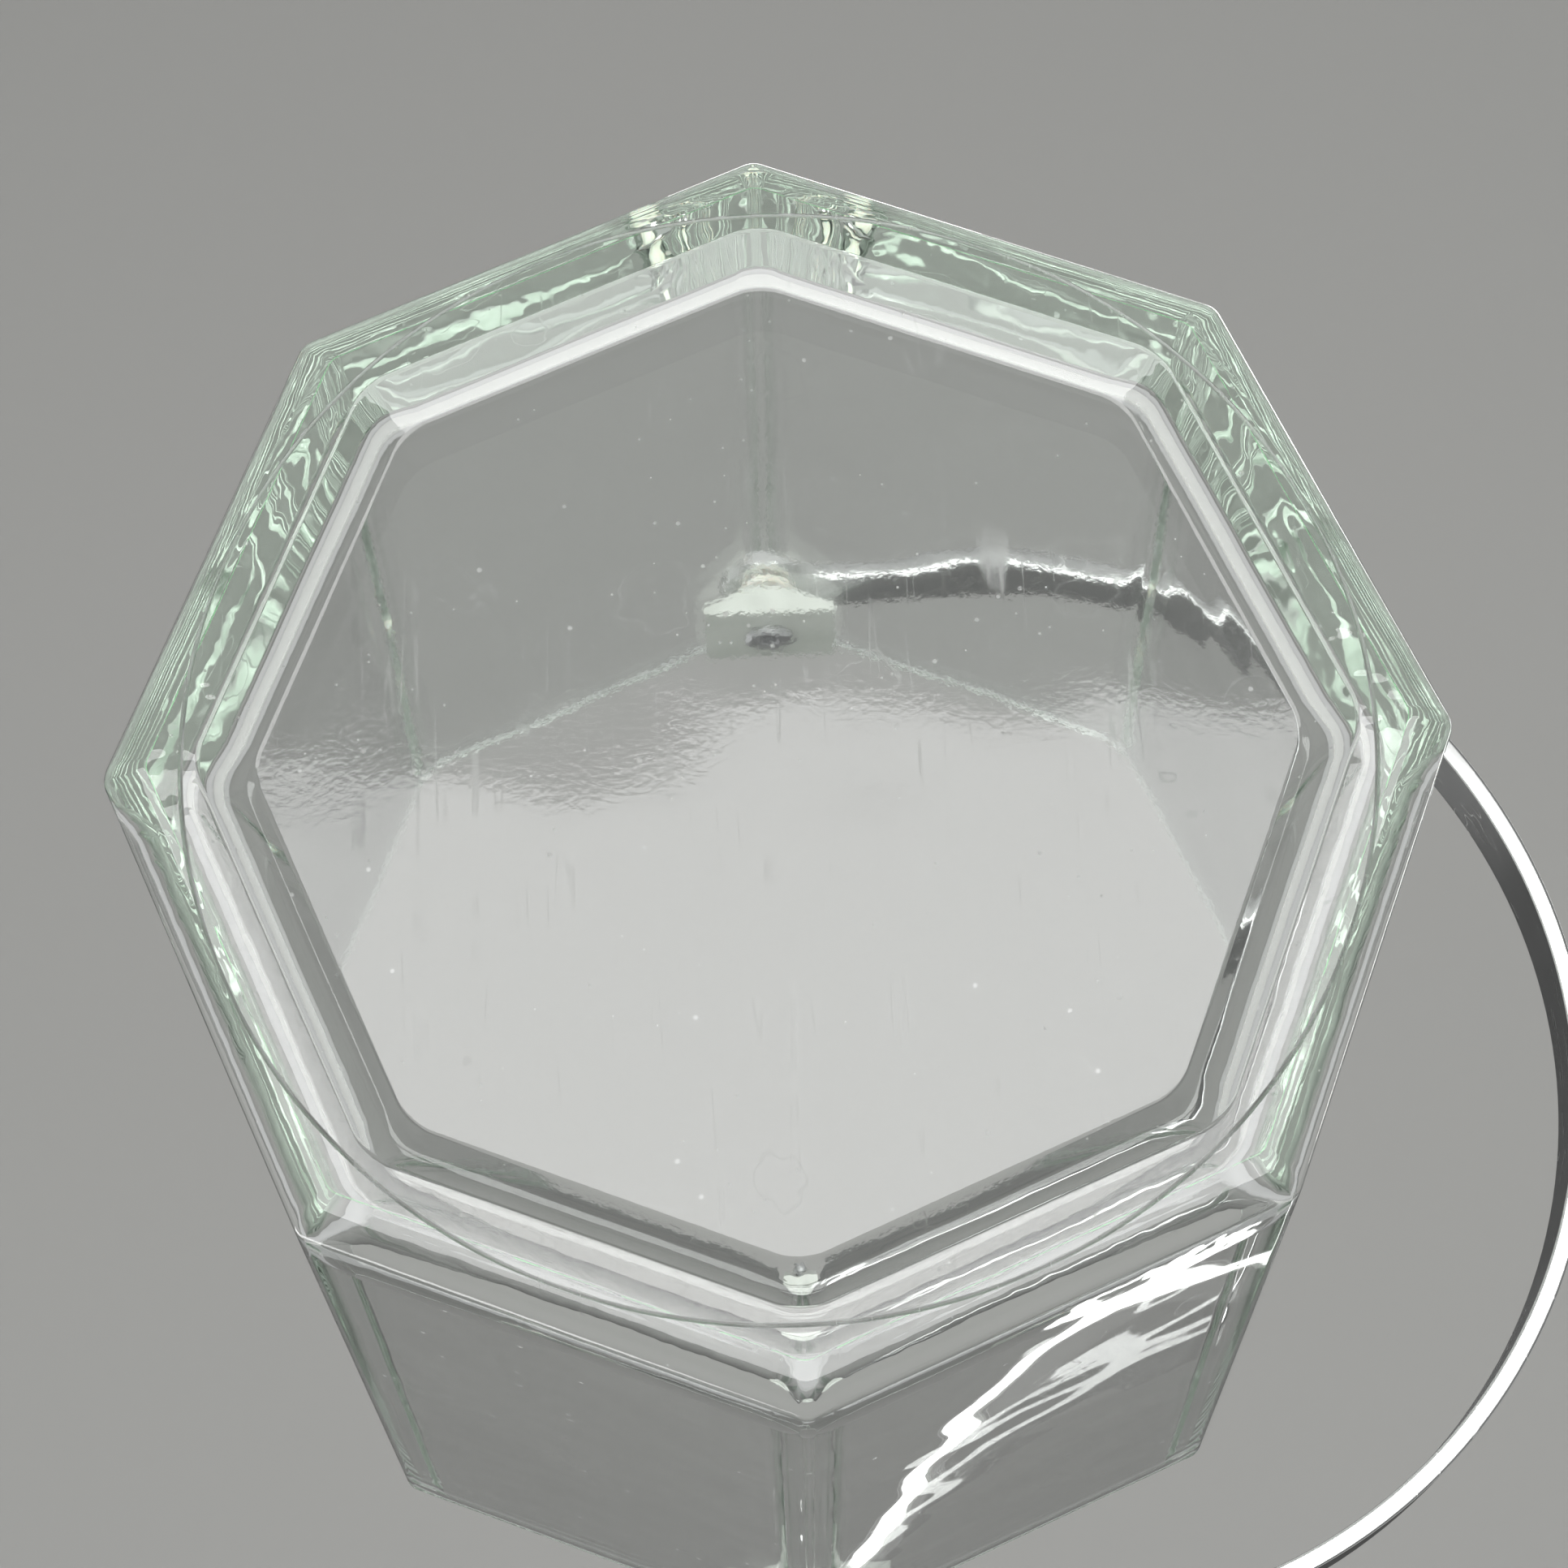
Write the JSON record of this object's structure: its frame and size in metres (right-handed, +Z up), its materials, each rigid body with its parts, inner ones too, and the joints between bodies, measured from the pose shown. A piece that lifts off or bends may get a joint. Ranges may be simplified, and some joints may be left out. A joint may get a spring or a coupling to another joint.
{
  "type": "octagonal glass jar with bail handle",
  "caption": "Open octagonal jar of thick clear pressed glass with a recessed underside, and a flat polished metal bail handle that swings on corner pivots just below the rim.",
  "frame": {"origin": "centre of the recessed floor of the underside, on the jar's axis; the jar stands on the flat ring round it, 3 mm lower", "axes": "+Z up out of the mouth; +Y through the back pivot, along the handle's hinge axis; +X towards the side that the handle is folded out to at rest"},
  "size_m": [0.1755, 0.1498, 0.125],
  "materials": {
    "clear_glass": "clear soda-lime glass, green in its thick edges, fire-polished",
    "polished_steel": "bright polished, with light handling scratches",
    "rivet_steel": "satin",
    "natural_nylon": "uncoloured nylon",
    "saddle_plastic": "pale moulded plastic"
  },
  "bodies": {
    "jar": {"glass_jar": "clear_glass", "pin_bush_front": "natural_nylon", "pin_bush_back": "natural_nylon", "corner_saddle_front": "saddle_plastic", "corner_saddle_back": "saddle_plastic", "pivot_pin_front": "rivet_steel", "pivot_pin_back": "rivet_steel"},
    "bail": {"bail_strap": "polished_steel"}
  },
  "joints": [
    {"name": "bail_hinge", "type": "hinge", "parent": "jar", "child": "bail", "pos_m": [0, 0, 0.112], "axis": [0, 1, 0], "range_deg": [-220, 46]}
  ]
}
